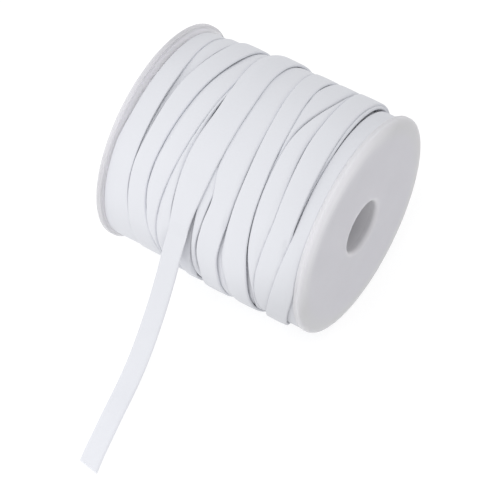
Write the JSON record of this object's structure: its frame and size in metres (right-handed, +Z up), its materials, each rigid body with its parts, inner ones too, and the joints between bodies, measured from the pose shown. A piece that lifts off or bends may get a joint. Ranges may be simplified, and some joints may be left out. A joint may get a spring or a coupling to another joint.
{
  "type": "roll of bias tape on a spool",
  "caption": "Narrow white bias tape wound on a white plastic spool that lies on its side, with the free end of the tape out in front.",
  "frame": {"origin": "on the surface the roll lies on, under the middle of the spool", "axes": "+X along the spool's axis to the flange whose outer face shows in the picture, +Z up, -Y towards the side where the loose end comes down"},
  "size_m": [0.0724, 0.1319, 0.0707],
  "materials": {
    "spool_plastic": "milky white moulded plastic, softly satin",
    "tape": "soft white woven tape, matt"
  },
  "bodies": {
    "root": {"spool_flange_far": "spool_plastic", "spool_flange_near": "spool_plastic", "spool_tube": "spool_plastic", "tape_winding": "tape", "tape_loose_end": "tape"}
  },
  "joints": []
}
